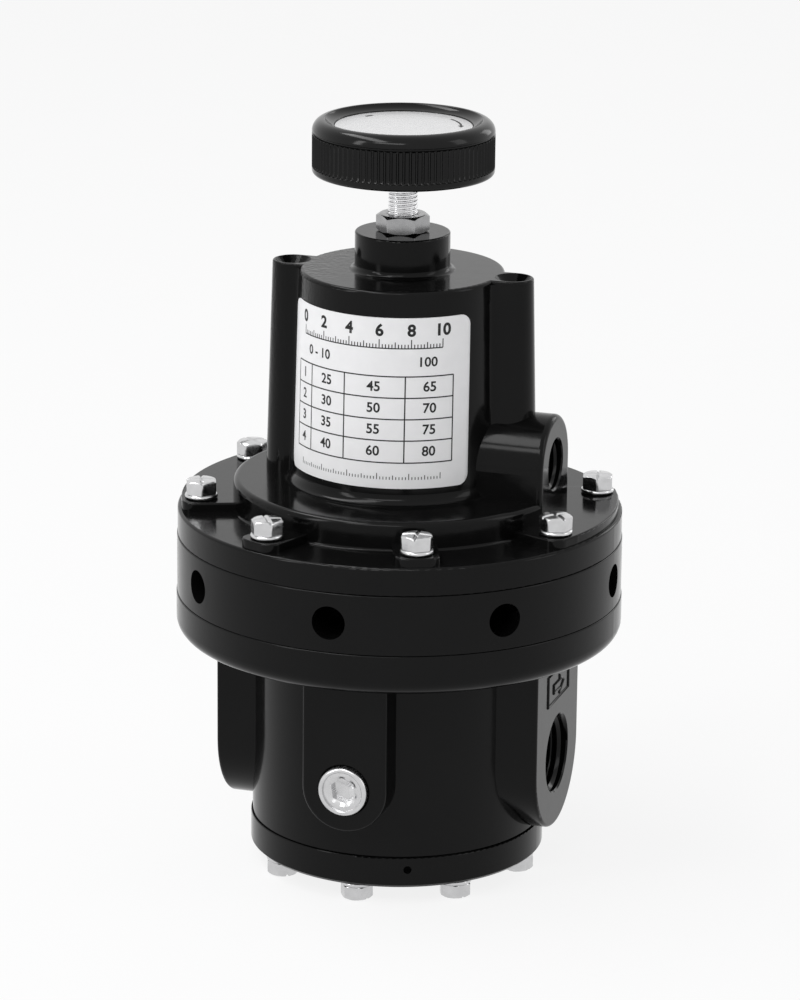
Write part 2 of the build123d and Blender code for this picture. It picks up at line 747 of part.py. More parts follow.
# Three diaphragms
stem_hole_r = stem_diameter / 2 + tapped_gap
z_control = z_shoulder - diaphragm_thickness
control_diaphragm = diaphragm(z_control, stem_hole_r, large_plate_r, large_clamp_r, convolution_rise, True)
finish(control_diaphragm, "control_diaphragm")
sink = -convolution_rise
signal_diaphragm = diaphragm(z_spool_top, stem_hole_r, small_plate_r, small_clamp_r, sink, False)
finish(signal_diaphragm, "signal_diaphragm")
z_output = z_ring - diaphragm_thickness
output_diaphragm = diaphragm(z_output, stem_hole_r, small_plate_r, small_clamp_r, convolution_rise, False)
finish(output_diaphragm, "output_diaphragm")

# Ring that clamps the large diaphragm in the bonnet
with BuildPart() as diaphragm_carrier:
    with BuildSketch(Plane.XZ):
        ring_profile(small_clamp_r, pocket_r - loose_gap, z_bonnet, z_bonnet + carrier_web)
        ring_profile(large_clamp_r, pocket_r - loose_gap, z_bonnet, z_control)
    revolve(axis=Axis.Z)
    with BuildSketch(Plane.XY.offset(z_bonnet + carrier_web)):
        with Locations(((large_clamp_r + passage_centre) / 2 - passage_r, 0)):
            SlotOverall(passage_centre - large_clamp_r + 4 * passage_r, signal_passage_diameter)
    extrude(amount=pocket_depth, mode=Mode.SUBTRACT)
finish(diaphragm_carrier, "diaphragm_carrier")

# Collar between the large and the middle diaphragm
with BuildPart() as hub_spacer:
    with BuildSketch(Plane.XZ):
        ring_profile(stem_hole_r, hub_spacer_diameter / 2, z_bonnet, z_control)
    revolve(axis=Axis.Z)
finish(hub_spacer, "hub_spacer")

# Flanged spool between the middle and the lower diaphragm
with BuildPart() as vent_spool:
    with BuildSketch(Plane.XZ) as profile:
        ring_profile(stem_hole_r, spool_core_diameter / 2, z_ring, z_spool_top)
        ring_profile(stem_hole_r, small_plate_r, z_ring, z_ring + spool_flange)
        ring_profile(stem_hole_r, small_plate_r, z_spool_top - spool_flange, z_spool_top)
    revolve(axis=Axis.Z)
    for number in range(stem_cross_hole_count):
        with BuildSketch(radial_plane(0, z_vent, number * 360 / stem_cross_hole_count)):
            Circle(stem_cross_hole / 2)
        extrude(amount=spool_core_diameter, mode=Mode.SUBTRACT)
finish(vent_spool, "vent_spool")

# Plate on top of the large diaphragm
with BuildPart() as control_plate:
    with BuildSketch(Plane.XZ):
        ring_profile(stem_hole_r, large_plate_r, z_shoulder, z_plate)
        ring_profile(stem_hole_r, spring_pilot_r, z_plate, z_plate_boss)
    revolve(axis=Axis.Z)
finish(control_plate, "control_plate")

# Hollow stem with the relief seat at its foot
with BuildPart() as relief_stem:
    with BuildSketch(Plane.XZ):
        rim_outer_r = relief_rim_diameter / 2
        ring_profile(rim_outer_r - relief_rim_width, rim_outer_r, z_relief, z_stem_flange)
        ring_profile(0, stem_flange_diameter / 2, z_stem_flange, z_output)
        ring_profile(0, stem_diameter / 2, z_output, z_stem_nut + stem_end)
    revolve(axis=Axis.Z)
    cut_ring(0, stem_bore_diameter / 2, z_relief - overshoot, z_stem_nut + stem_end + overshoot)
    for number in range(stem_cross_hole_count):
        with BuildSketch(radial_plane(0, z_vent, number * 360 / stem_cross_hole_count)):
            Circle(stem_cross_hole / 2)
        extrude(amount=stem_diameter, mode=Mode.SUBTRACT)
finish(relief_stem, "relief_stem")

# Nut on top of the stem
with BuildPart() as stem_nut:
    with BuildSketch(Plane.XY.offset(z_plate_boss)):
        RegularPolygon(stem_nut_flats / 2, 6, major_radius=False)
        Circle(stem_hole_r, mode=Mode.SUBTRACT)
    extrude(amount=stem_nut_height)
finish(stem_nut, "stem_nut")

# Seat bush of the supply valve
with BuildPart() as valve_seat:
    with BuildSketch(Plane.XZ):
        orifice_r = orifice_diameter / 2
        z_seat_flange = z_chamber_floor + seat_flange_height
        ring_profile(orifice_r, seat_flange_diameter / 2, z_chamber_floor, z_seat_flange)
        ring_profile(orifice_r, seat_diameter / 2, z_supply_roof, z_chamber_floor)
        ring_profile(orifice_r, orifice_r + seat_rim_width, z_seat, z_supply_roof)
    revolve(axis=Axis.Z)
finish(valve_seat, "valve_seat")

# Balanced poppet: piston, neck, disc, stem and tip, drilled through to above the seat
with BuildPart() as supply_valve:
    with BuildSketch(Plane.XZ):
        ring_profile(0, piston_diameter / 2, z_piston, z_piston + piston_length)
        ring_profile(0, valve_neck_diameter / 2, z_piston + piston_length, z_valve_disc)
        ring_profile(0, valve_disc_diameter / 2, z_valve_disc, z_valve_face)
        ring_profile(0, valve_stem_diameter / 2, z_valve_face, z_relief)
        ring_profile(0, valve_tip_diameter / 2, z_relief - valve_tip_height, z_relief)
    revolve(axis=Axis.Z)
    valve_groove_r = piston_diameter / 2 + sliding_gap - valve_seal_wire - 2 * seal_gap
    valve_groove_low = z_piston + valve_seal_rise
    valve_groove_high = valve_groove_low + valve_seal_wire + 2 * seal_gap
    cut_ring(valve_groove_r, piston_diameter / 2 + overshoot, valve_groove_low, valve_groove_high)
    z_cross = z_seat_flange + valve_bore_diameter
    cut_ring(0, valve_bore_diameter / 2, z_piston - overshoot, z_cross)
    drill((-valve_stem_diameter, 0, z_cross), (valve_stem_diameter, 0, z_cross), valve_cross_hole)
finish(supply_valve, "supply_valve")

# Rubber ring that closes on the seat
with BuildPart() as valve_face:
    with BuildSketch(Plane.XZ):
        ring_profile(valve_stem_diameter / 2 + tapped_gap, valve_face_diameter / 2, z_valve_face, z_seat)
    revolve(axis=Axis.Z)
finish(valve_face, "valve_face")


def seal_ring(outer_r, wire, low):
    """Seal ring with a many-sided section, just clear of the wall outside it."""
    with BuildPart() as seal:
        with BuildSketch(Plane.XZ):
            with Locations((outer_r - seal_gap - wire / 2, low + seal_gap + wire / 2)):
                RegularPolygon(wire / 2, wire_sides)
        revolve(axis=Axis.Z)
    return seal


# Seals of the cap and of the piston
cap_o_ring = seal_ring(supply_r, cap_seal_wire, groove_low)
finish(cap_o_ring, "cap_o_ring")
valve_o_ring = seal_ring(piston_diameter / 2 + sliding_gap, valve_seal_wire, valve_groove_low)
finish(valve_o_ring, "valve_o_ring")
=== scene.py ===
"""Looks of the pneumatic reversing relay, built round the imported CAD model. Metres throughout."""

from math import ceil, cos, hypot, pi, radians, sin, sqrt, tan

import bpy
from mathutils import Matrix, Vector


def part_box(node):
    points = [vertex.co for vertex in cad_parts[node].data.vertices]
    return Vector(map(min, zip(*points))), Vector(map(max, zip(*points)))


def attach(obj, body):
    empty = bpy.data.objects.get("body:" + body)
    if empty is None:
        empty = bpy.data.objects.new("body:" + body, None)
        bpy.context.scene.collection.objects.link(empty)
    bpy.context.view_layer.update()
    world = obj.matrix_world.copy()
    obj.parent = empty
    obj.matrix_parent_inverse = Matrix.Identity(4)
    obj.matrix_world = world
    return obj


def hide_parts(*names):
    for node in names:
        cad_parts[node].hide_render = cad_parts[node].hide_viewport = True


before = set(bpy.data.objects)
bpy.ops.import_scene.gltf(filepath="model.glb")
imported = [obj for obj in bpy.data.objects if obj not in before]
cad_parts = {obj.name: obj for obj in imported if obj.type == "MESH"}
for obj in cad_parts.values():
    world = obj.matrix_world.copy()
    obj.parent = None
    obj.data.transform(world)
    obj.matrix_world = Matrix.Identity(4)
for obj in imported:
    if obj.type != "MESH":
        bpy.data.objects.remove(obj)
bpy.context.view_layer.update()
scene = bpy.context.scene
scene.view_settings.view_transform = "Standard"

MM = 0.001
INCH = 25.4 * MM

# Camera, from the fitted view of the photograph
CAMERA_AZIMUTH = radians(17.7)
CAMERA_DISTANCE = 1.16836
CAMERA_HEIGHT = 0.44867
CAMERA_PITCH = radians(16.5085)
CAMERA_ROLL = radians(0.5874)
CAMERA_LENS = 161.358
SENSOR = 36.0


def add_camera():
    """Camera at the photograph's viewing angle, turned about the object's axis."""
    right = Vector((cos(CAMERA_AZIMUTH), sin(CAMERA_AZIMUTH), 0))
    level = Vector((-sin(CAMERA_AZIMUTH), cos(CAMERA_AZIMUTH), 0))
    forward = level * cos(CAMERA_PITCH) - Vector((0, 0, sin(CAMERA_PITCH)))
    up = right.cross(forward)
    x_axis = right * cos(CAMERA_ROLL) + up * sin(CAMERA_ROLL)
    y_axis = up * cos(CAMERA_ROLL) - right * sin(CAMERA_ROLL)
    data = bpy.data.cameras.new("camera")
    data.sensor_width = SENSOR
    data.lens = CAMERA_LENS
    data.clip_start = 0.05
    data.clip_end = 50
    camera = bpy.data.objects.new("camera", data)
    place = Vector((0, 0, CAMERA_HEIGHT)) - level * CAMERA_DISTANCE
    rotation = Matrix((x_axis, y_axis, -forward)).transposed()
    camera.matrix_world = Matrix.Translation(place) @ rotation.to_4x4()
    scene.collection.objects.link(camera)
    scene.camera = camera


add_camera()


# Node helpers
def new_material(name):
    """Empty node material with its output."""
    made = bpy.data.materials.new(name)
    made.use_nodes = True
    tree = made.node_tree
    tree.nodes.clear()
    return made, tree, tree.nodes.new("ShaderNodeOutputMaterial")


def math_node(tree, operation, first, second):
    """Math node whose inputs are sockets or numbers."""
    added = tree.nodes.new("ShaderNodeMath")
    added.operation = operation
    for socket, value in zip(added.inputs, (first, second)):
        if isinstance(value, (int, float)):
            socket.default_value = value
        else:
            tree.links.new(value, socket)
    return added.outputs[0]


def ramp(tree, source, low, high, first, last, smooth=False):
    """Map a value from low..high to first..last, held at both ends."""
    mapper = tree.nodes.new("ShaderNodeMapRange")
    if smooth:
        mapper.interpolation_type = "SMOOTHSTEP"
    tree.links.new(source, mapper.inputs["Value"])
    mapper.inputs["From Min"].default_value = low
    mapper.inputs["From Max"].default_value = high
    mapper.inputs["To Min"].default_value = first
    mapper.inputs["To Max"].default_value = last
    return mapper.outputs["Result"]


def noise(tree, scale, detail=2.0, roughness=0.5, stretch=(1, 1, 1)):
    """Noise in object coordinates; scale counts features per metre."""
    place = tree.nodes.new("ShaderNodeTexCoord")
    mapping = tree.nodes.new("ShaderNodeMapping")
    mapping.inputs["Scale"].default_value = stretch
    tree.links.new(place.outputs["Object"], mapping.inputs["Vector"])
    texture = tree.nodes.new("ShaderNodeTexNoise")
    texture.inputs["Scale"].default_value = scale
    texture.inputs["Detail"].default_value = detail
    texture.inputs["Roughness"].default_value = roughness
    tree.links.new(mapping.outputs["Vector"], texture.inputs["Vector"])
    return texture.outputs["Fac"]


def mix_colours(tree, factor, first, second):
    """Mix two plain colours by a socket."""
    mixer = tree.nodes.new("ShaderNodeMix")
    mixer.data_type = "RGBA"
    tree.links.new(factor, mixer.inputs[0])
    mixer.inputs[6].default_value = (*first, 1)
    mixer.inputs[7].default_value = (*second, 1)
    return mixer.outputs[2]


def bump(tree, height, strength, distance, normal=None):
    """Bump from a height socket, distance in metres."""
    added = tree.nodes.new("ShaderNodeBump")
    added.inputs["Strength"].default_value = strength
    added.inputs["Distance"].default_value = distance
    tree.links.new(height, added.inputs["Height"])
    if normal is not None:
        tree.links.new(normal, added.inputs["Normal"])
    return added.outputs["Normal"]


def principled(tree, output, metallic=0.0, specular=0.5):
    """Principled shader joined to the output, with its constants on its own sockets."""
    shader = tree.nodes.new("ShaderNodeBsdfPrincipled")
    shader.inputs["Metallic"].default_value = metallic
    shader.inputs["Specular IOR Level"].default_value = specular
    tree.links.new(shader.outputs[0], output.inputs["Surface"])
    return shader


def grey(level):
    """Neutral colour."""
    return (level, level, level * 1.01)


# Materials: the span that a noise texture covers, and the patch of cast grain on the bonnet
NOISE_LOW = 0.3
NOISE_HIGH = 0.7
PAINT_SPECULAR = 0.13
PLASTIC_SPECULAR = 0.2
GRAIN_LEFT = -22 * MM
GRAIN_RIGHT = -8 * MM
GRAIN_LOW = 110 * MM
GRAIN_HIGH = 150 * MM
GRAIN_STRETCH = (1, 1, 0.55)


def grain_mask(tree):
    """Share of cast grain: full on the left of the bonnet's upper half, fading right and down."""
    place = tree.nodes.new("ShaderNodeTexCoord")
    parts = tree.nodes.new("ShaderNodeSeparateXYZ")
    tree.links.new(place.outputs["Object"], parts.inputs[0])
    left = ramp(tree, parts.outputs["X"], GRAIN_LEFT, GRAIN_RIGHT, 1, 0)
    high = ramp(tree, parts.outputs["Z"], GRAIN_LOW, GRAIN_HIGH, 0, 1)
    return math_node(tree, "MULTIPLY", left, high)


def painted_casting():
    """Semi-gloss black paint on cast metal: faint orange peel and a patch of cast grain."""
    made, tree, output = new_material("black_paint")
    shader = principled(tree, output, specular=PAINT_SPECULAR)
    tone = noise(tree, 60, 3)
    tree.links.new(mix_colours(tree, tone, grey(0.0022), grey(0.0040)), shader.inputs["Base Color"])
    gloss = noise(tree, 240, 3)
    tree.links.new(ramp(tree, gloss, NOISE_LOW, NOISE_HIGH, 0.10, 0.17), shader.inputs["Roughness"])
    peel = noise(tree, 500, 2)
    grain = math_node(tree, "MULTIPLY", noise(tree, 800, 3, 0.6, GRAIN_STRETCH), grain_mask(tree))
    fine = bump(tree, peel, 0.05, 0.0002)
    tree.links.new(bump(tree, grain, 0.4, 0.0004, fine), shader.inputs["Normal"])
    return made


def moulded_plastic():
    """Glossy black moulded plastic of the knob."""
    made, tree, output = new_material("black_plastic")
    shader = principled(tree, output, specular=PLASTIC_SPECULAR)
    colour = mix_colours(tree, noise(tree, 90), grey(0.0022), grey(0.0038))
    tree.links.new(colour, shader.inputs["Base Color"])
    wear = noise(tree, 500, 3)
    tree.links.new(ramp(tree, wear, NOISE_LOW, NOISE_HIGH, 0.10, 0.16), shader.inputs["Roughness"])
    tree.links.new(bump(tree, wear, 0.03, 0.0001), shader.inputs["Normal"])
    return made


def bright_metal(name, light, dark, rough_low, rough_high):
    """Plated or machined metal with faint stains and fine tool marks."""
    made, tree, output = new_material(name)
    shader = principled(tree, output, metallic=1.0)
    tree.links.new(mix_colours(tree, noise(tree, 350, 3), light, dark), shader.inputs["Base Color"])
    marks = noise(tree, 900, 3, 0.6)
    rough = ramp(tree, marks, NOISE_LOW, NOISE_HIGH, rough_low, rough_high)
    tree.links.new(rough, shader.inputs["Roughness"])
    tree.links.new(bump(tree, marks, 0.05, 0.0001), shader.inputs["Normal"])
    return made


def plain_coat(name, light, dark, rough_low, rough_high, specular=0.5):
    """Printed or moulded surface with a slight change of tone."""
    made, tree, output = new_material(name)
    shader = principled(tree, output, specular=specular)
    tone = noise(tree, 300, 3)
    tree.links.new(mix_colours(tree, tone, light, dark), shader.inputs["Base Color"])
    rough = ramp(tree, tone, NOISE_LOW, NOISE_HIGH, rough_low, rough_high)
    tree.links.new(rough, shader.inputs["Roughness"])
    tree.links.new(bump(tree, tone, 0.04, 0.0001), shader.inputs["Normal"])
    return made


paint = painted_casting()
plastic = moulded_plastic()
zinc = bright_metal("zinc_plate", grey(0.66), grey(0.50), 0.16, 0.26)
plug_metal = bright_metal("plug_plate", grey(0.68), grey(0.50), 0.20, 0.30)
nut_metal = bright_metal("nut_plate", grey(0.42), grey(0.28), 0.22, 0.32)
thread_metal = bright_metal("thread_plate", grey(0.92), grey(0.82), 0.24, 0.34)
aluminium = bright_metal("aluminium", grey(0.72), grey(0.55), 0.28, 0.42)
spring_metal = bright_metal("spring_wire", grey(0.42), grey(0.28), 0.25, 0.4)
brass = bright_metal("brass", (0.72, 0.52, 0.25), (0.55, 0.38, 0.16), 0.2, 0.35)
rubber = plain_coat("rubber", grey(0.012), grey(0.02), 0.55, 0.75, 0.3)
plate_white = plain_coat("plate_white", grey(0.84), grey(0.78), 0.30, 0.40)
disc_silver = plain_coat("disc_pale", grey(0.63), grey(0.58), 0.22, 0.32)
ink = plain_coat("ink", grey(0.008), grey(0.016), 0.4, 0.5, 0.3)


def dress(material, *names):
    """Give CAD nodes their material."""
    for name in names:
        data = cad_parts[name].data
        data.materials.clear()
        data.materials.append(material)


dress(paint, "body", "bonnet", "spacer_ring", "bottom_cap")
dress(aluminium, "control_plate", "diaphragm_carrier", "hub_spacer", "vent_spool", "spring_button")
dress(spring_metal, "range_spring", "valve_spring")
dress(brass, "valve_seat", "supply_valve", "relief_stem", "stem_nut")
dress(rubber, "control_diaphragm", "signal_diaphragm", "output_diaphragm")
dress(rubber, "valve_face", "valve_o_ring", "cap_o_ring")


# Mesh helpers
def link_mesh(name, points, faces, material, body, sharp=32):
    """Make a mesh piece that rides on a body."""
    data = bpy.data.meshes.new(name)
    data.from_pydata([tuple(point) for point in points], [], faces)
    data.update()
    data.shade_smooth()
    data.set_sharp_from_angle(angle=radians(sharp))
    data.materials.append(material)
    piece = bpy.data.objects.new(name, data)
    scene.collection.objects.link(piece)
    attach(piece, body)
    return piece


def grid_faces(rows, columns, wrap=True):
    """Quads of a grid of points whose columns may close on themselves."""
    faces = []
    for row in range(rows - 1):
        for column in range(columns if wrap else columns - 1):
            a = row * columns + column
            b = row * columns + (column + 1) % columns
            faces.append((a, b, b + columns, a + columns))
    return faces


def arc_points(centre, radius, first, last, steps):
    """Points of an arc in the profile plane, angles in degrees."""
    points = []
    for step in range(steps + 1):
        angle = radians(first + (last - first) * step / steps)
        points.append((centre[0] + radius * cos(angle), centre[1] + radius * sin(angle)))
    return points


def turned(profile_at, segments, place=Matrix.Identity(4)):
    """Turn a profile about Z; profile_at gives its (radius, height) points at an angle."""
    angles = [2 * pi * index / segments for index in range(segments)]
    profiles = [profile_at(angle) for angle in angles]
    points = []
    for row in range(len(profiles[0])):
        for angle, profile in zip(angles, profiles):
            radius, height = profile[row]
            points.append(place @ Vector((radius * cos(angle), radius * sin(angle), height)))
    return points, grid_faces(len(profiles[0]), segments)


def join(parts):
    """Join lists of points and faces."""
    points, faces = [], []
    for more_points, more_faces in parts:
        start = len(points)
        points += more_points
        faces += [tuple(start + index for index in face) for face in more_faces]
    return points, faces


def hexagon_r(flats, angle, corner_round):
    """Radius of a hexagon at an angle, its corners cut back a little."""
    half = flats / 2
    local = (angle + pi / 6) % (pi / 3) - pi / 6
    return min(half / cos(local), half / cos(pi / 6) - corner_round)


# Sizes that the CAD boxes give
knob_low, knob_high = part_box("knob")
knob_r = knob_high.x
disc_low, disc_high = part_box("knob_disc")
disc_r = disc_high.x
nut_low, nut_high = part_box("lock_nut")
screw_low, screw_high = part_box("adjusting_screw")
thread_r = screw_high.x

# Knob: flutes between a plain lower band and a groove under the rounded rim
FLUTES = 90
FLUTE_SAMPLES = 12
FLUTE_DEPTH = 0.55 * MM
FLUTE_EASE = 0.5 * MM
FLUTE_SHARE = 0.86
FLUTE_LOW = knob_low.z + 1.9 * MM
FLUTE_HIGH = knob_low.z + 10.8 * MM
GROOVE_HIGH = knob_low.z + 11.4 * MM
GROOVE_DEPTH = 0.5 * MM
FOOT_ROUND = 1.1 * MM
RIM_ROUND = 3.2 * MM
DISH_R = 21.0 * MM
DISH_LIP = 0.5 * MM
HOLLOW_R = knob_r - 3.4 * MM
HOLLOW_TOP = knob_low.z + 6.5 * MM
HOLLOW_EDGE = 0.4 * MM
HUB_R = 8.5 * MM
HUB_ROUND = 0.5 * MM
RIB_COUNT = 6
RIB_HALF = 0.8 * MM


def flute_depth(angle, height):
    """Depth of a broad flute between narrow ridges; it runs out in a short curve at both ends."""
    across = abs((angle * FLUTES / (2 * pi)) % 1.0 - 0.5) * 2
    shape = max(0.0, 1 - (across / FLUTE_SHARE) ** 4)
    ends = min(height - FLUTE_LOW, FLUTE_HIGH - height) / FLUTE_EASE
    return FLUTE_DEPTH * shape * sqrt(max(0.0, min(1.0, ends)))


def knob_profile(angle):
    """Profile of the knob from its hollow round the outside to the dish for the disc."""
    base = knob_low.z
    rows = [(HUB_R, HOLLOW_TOP), (HOLLOW_R - HOLLOW_EDGE, HOLLOW_TOP), (HOLLOW_R, HOLLOW_TOP - HOLLOW_EDGE)]
    rows += arc_points((HOLLOW_R + HOLLOW_EDGE, base + HOLLOW_EDGE), HOLLOW_EDGE, 180, 270, 4)
    rows += arc_points((knob_r - FOOT_ROUND, base + FOOT_ROUND), FOOT_ROUND, -90, 0, 8)
    span = FLUTE_HIGH - FLUTE_LOW
    ease_steps = [FLUTE_EASE * (step / 6) ** 2 for step in range(7)]
    middle_steps = [FLUTE_EASE + (span - 2 * FLUTE_EASE) * step / 5 for step in range(1, 5)]
    flute_steps = ease_steps + middle_steps + [span - step for step in reversed(ease_steps)]
    for step in flute_steps:
        height = FLUTE_LOW + step
        rows.append((knob_r - flute_depth(angle, height), height))
    groove_r = knob_r - GROOVE_DEPTH
    rows += [(groove_r, FLUTE_HIGH + 0.12 * MM), (groove_r, GROOVE_HIGH - 0.15 * MM)]
    rows += [(knob_r - 0.1 * MM, GROOVE_HIGH - 0.02 * MM)]
    rows += arc_points((knob_r - RIM_ROUND, knob_high.z - RIM_ROUND), RIM_ROUND, 0, 90, 16)
    rows += arc_points((DISH_R + 0.3 * MM, knob_high.z - DISH_LIP), DISH_LIP, 90, 160, 6)
    dish_z = disc_high.z + 0.3 * MM
    rows += [(disc_r + 0.6 * MM, dish_z)]
    rows += arc_points((disc_r + 0.35 * MM, dish_z - 0.25 * MM), 0.25 * MM, 90, 180, 4)
    rows += [(disc_r + 0.1 * MM, disc_low.z + 0.05 * MM), (disc_r - 2 * MM, disc_low.z)]
    return rows


def build_knob():
    """Knob shell, its hub and six ribs across the hollow."""
    hub = [(thread_r, knob_low.z + HUB_ROUND), (thread_r + HUB_ROUND, knob_low.z)]
    hub += arc_points((HUB_R - HUB_ROUND, knob_low.z + HUB_ROUND), HUB_ROUND, -90, 0, 5)
    hub += [(HUB_R, HOLLOW_TOP)]
    points, faces = join([turned(knob_profile, FLUTES * FLUTE_SAMPLES), turned(lambda angle: hub, 96)])
    knob = link_mesh("knob_shell", points, faces, plastic, "knob_and_screw", 40)
    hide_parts("knob")
    ribs = []
    inner, outer = HUB_R - 0.3 * MM, HOLLOW_R + 0.3 * MM
    for number in range(RIB_COUNT):
        turn = Matrix.Rotation(2 * pi * number / RIB_COUNT, 4, "Z")
        points = []
        for height, half in ((knob_low.z + 0.6 * MM, RIB_HALF), (HOLLOW_TOP + 0.1 * MM, RIB_HALF * 1.3)):
            for x, y in ((inner, -half), (outer, -half), (outer, half), (inner, half)):
                points.append(turn @ Vector((x, y, height)))
        ribs.append((points, [(3, 2, 1, 0), *grid_faces(2, 4)]))
    points, faces = join(ribs)
    link_mesh("knob_ribs", points, faces, plastic, "knob_and_screw")


def build_disc():
    """Pale disc with a softly rounded edge."""
    edge = 0.15 * MM
    profile = [(disc_r, disc_low.z)]
    profile += arc_points((disc_r - edge, disc_high.z - edge), edge, 0, 90, 5)
    profile += [(disc_r * share, disc_high.z) for share in (0.75, 0.5, 0.25, 0)]
    points, faces = turned(lambda angle: profile, 160)
    disc = link_mesh("disc_insert", points, faces, disc_silver, "knob_and_screw")
    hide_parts("knob_disc")


build_knob()
build_disc()

# Threads
SCREW_PITCH = INCH / 24
SCREW_THREAD_DEPTH = 0.42 * MM


def threaded_rod(radius, low, high, pitch, depth, segments, rows_per_turn):
    """Threaded rod with flat crests and chamfered ends."""
    count = ceil((high - low) / pitch * rows_per_turn)
    points = []
    for row in range(count + 1):
        height = low + (high - low) * row / count
        limit = radius - depth * 1.1 + min(height - low, high - height)
        for column in range(segments):
            turn = column / segments
            across = abs((height / pitch - turn) % 1.0 - 0.5) * 2
            crest = min(1.0, max(0.0, (1 - across) * 1.7))
            r = min(radius - depth * (1 - crest), limit)
            points.append(Vector((r * cos(2 * pi * turn), r * sin(2 * pi * turn), height)))
    faces = grid_faces(count + 1, segments)
    faces.append(tuple(range(segments))[::-1])
    faces.append(tuple(range(count * segments, (count + 1) * segments)))
    return points, faces


points, faces = threaded_rod(thread_r, screw_low.z, screw_high.z, SCREW_PITCH, SCREW_THREAD_DEPTH, 64, 12)
rod = link_mesh("screw_thread", points, faces, thread_metal, "knob_and_screw", 80)
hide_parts("adjusting_screw")

# Lock nut with its corners turned off on both faces
NUT_FLATS = 12.7 * MM
NUT_TURN = radians(42.7)
NUT_FACE_SHARE = 0.97
NUT_CHAMFER = radians(30)


def nut_profile(angle):
    """Profile of the nut: bore, lower face, wall with cut corners, upper face."""
    bore = thread_r + 0.05 * MM
    start = NUT_FLATS / 2 * NUT_FACE_SHARE
    slope = tan(NUT_CHAMFER)
    bevel = 0.12 * MM
    r = hexagon_r(NUT_FLATS, angle - NUT_TURN, 0.12 * MM)
    drop = max(0.0, r - start) * slope
    low, high = nut_low.z, nut_high.z
    below = [(bore, low + 0.3 * MM), (bore + 0.35 * MM, low), (start, low)]
    below += [(r - bevel, low + drop - bevel * slope / 2), (r, low + drop + bevel / 2)]
    above = [(r, high - drop - bevel / 2), (r - bevel, high - drop + bevel * slope / 2)]
    above += [(start, high), (start - 0.3 * MM, high), (bore + 0.45 * MM, high), (bore, high - 0.4 * MM)]
    return below + above + below[:1]


points, faces = turned(nut_profile, 240)
nut = link_mesh("jam_nut_piece", points, faces, nut_metal, "jam_nut", 28)
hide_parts("lock_nut")

# Screws: hexagon heads with a turned rim and a cross of V grooves
HEAD_FLATS = 7.94 * MM
SCREW_R = 2.415 * MM
V_WIDTH = 1.3 * MM
V_DEPTH = 0.95 * MM
V_MIDDLE = 0.72
V_RISE = 0.28
HEAD_DOME = 0.3 * MM
RIM_START = 0.86
RIM_SLOPE = 0.75
HEAD_RINGS = 26
WASHER_BORE_R = 2.6 * MM
WASHER_R = 4.5 * MM
BONNET_BOLT_R = 53.975 * MM
CAP_BOLT_R = 34.925 * MM


def head_height(x, y, height):
    """Height of the head's top: a slight dome, a cone at the rim and two crossing V grooves."""
    half = HEAD_FLATS / 2
    out = hypot(x, y)
    dome = HEAD_DOME * (out / half) ** 2
    level = min(height - dome, height - max(0.0, out - half * RIM_START) * RIM_SLOPE)
    for across, along in ((x, y), (y, x)):
        depth = V_DEPTH * (1 - abs(across) / (V_WIDTH / 2))
        if depth > 0:
            level = min(level, height - depth * (V_MIDDLE + V_RISE * min(1.0, abs(along) / half)))
    return level


def screw_head(height, place):
    """Head that stands on z = 0."""

    def profile(angle):
        r = hexagon_r(HEAD_FLATS, angle, 0.15 * MM)
        edge = head_height(r * cos(angle), r * sin(angle), height)
        rows = [(r * 0.6, 0.0), (r - 0.1 * MM, 0.0), (r, 0.12 * MM), (r, edge / 2), (r, edge - 0.12 * MM)]
        for ring in range(HEAD_RINGS + 1):
            inner = (r - 0.06 * MM) * (1 - ring / HEAD_RINGS)
            rows.append((inner, head_height(inner * cos(angle), inner * sin(angle), height)))
        return rows

    return turned(profile, 120, place)


def washer_ring(thick, place):
    """Washer with rolled edges."""
    inner, outer = WASHER_BORE_R, WASHER_R
    big, small = thick * 0.45, thick * 0.25
    profile = arc_points((inner + small, small), small, 180, 270, 3)
    profile += arc_points((outer - big, big), big, -90, 0, 6)
    profile += arc_points((outer - big, thick - big), big, 0, 90, 6)
    profile += arc_points((inner + small, thick - small), small, 90, 180, 3)
    profile += profile[:1]
    return turned(lambda angle: profile, 72, place)


def screw_ring(prefix, bolt_r, first, up, turns):
    """Screws and washers on a circle, each screw turned its own way."""
    screws_low, screws_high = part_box(f"{prefix}_screws")
    washers_low, washers_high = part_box(f"{prefix}_washers")
    seat = washers_high.z if up else washers_low.z
    head = screws_high.z - seat if up else seat - screws_low.z
    shank = seat - screws_low.z if up else screws_high.z - seat
    thick = washers_high.z - washers_low.z
    flip = Matrix.Identity(4) if up else Matrix.Rotation(pi, 4, "X")
    screws, washers = [], []
    for number, turn in enumerate(turns):
        angle = radians(first + 45 * number)
        spot = (bolt_r * cos(angle), bolt_r * sin(angle))
        place = Matrix.Translation((*spot, seat)) @ flip @ Matrix.Rotation(radians(turn), 4, "Z")
        screws.append(screw_head(head, place))
        rod_points, rod_faces = threaded_rod(SCREW_R, -shank, 0, INCH / 32, 0.45 * MM, 24, 5)
        screws.append(([place @ point for point in rod_points], rod_faces))
        washers.append(washer_ring(thick, Matrix.Translation((*spot, washers_low.z))))
    for parts, kind in ((screws, "screw"), (washers, "washer")):
        points, faces = join(parts)
        piece = link_mesh(f"{prefix}_{kind}_set", points, faces, zinc, "housing", 30)
        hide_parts(f"{prefix}_{kind}s")


screw_ring("bonnet", BONNET_BOLT_R, 22.5, True, (14, 40, 3, 52, 22, 33, 9, 47))
screw_ring("cap", CAP_BOLT_R, 0, False, (20, 48, 5, 31, 12, 55, 26, 38))

